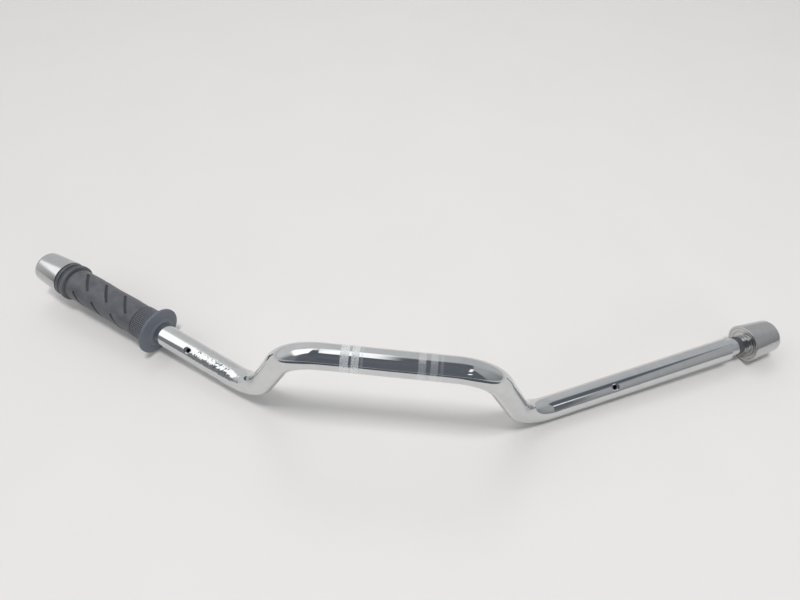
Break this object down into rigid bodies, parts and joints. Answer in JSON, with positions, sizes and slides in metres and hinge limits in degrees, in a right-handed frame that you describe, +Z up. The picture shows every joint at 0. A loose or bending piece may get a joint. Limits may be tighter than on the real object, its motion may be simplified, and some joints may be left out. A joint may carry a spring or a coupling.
{
  "type": "motorcycle handlebar",
  "caption": "Bent chrome tube handlebar with a straight clamp section, swept arms, rubber left grip and damped, tapered end weights held by screws.",
  "frame": {"origin": "centre of the straight clamp section, on the tube's centre line", "axes": "+X along the clamp section towards the arm without a grip, +Y towards the tips of the swept arms, +Z up with the bar laid down, clamp section on top"},
  "size_m": [0.7726, 0.1586, 0.1314],
  "materials": {
    "bar_chrome": "bright chrome plate, rubbed dull in the clamp bands",
    "grip_rubber": "moulded satin rubber",
    "weight_chrome": "turned and plated, satin",
    "zinc_steel": "bright zinc plate",
    "cushion_rubber": "matte moulded rubber",
    "ring_rubber": "satin moulded rubber",
    "spring_steel": "oiled spring steel",
    "screw_steel": "zinc plated"
  },
  "bodies": {
    "root": {"handlebar_tube": "bar_chrome", "left_grip": "grip_rubber", "inner_weight_right": "zinc_steel", "inner_weight_left": "zinc_steel", "cushion_outer_right": "cushion_rubber", "cushion_outer_left": "cushion_rubber", "cushion_inner_right": "cushion_rubber", "cushion_inner_left": "cushion_rubber", "retainer_right": "spring_steel", "retainer_left": "spring_steel", "rubber_ring_right": "ring_rubber", "rubber_ring_left": "ring_rubber", "outer_weight_right": "weight_chrome", "outer_weight_left": "weight_chrome", "end_screw_right": "screw_steel", "end_screw_left": "screw_steel"}
  },
  "joints": []
}
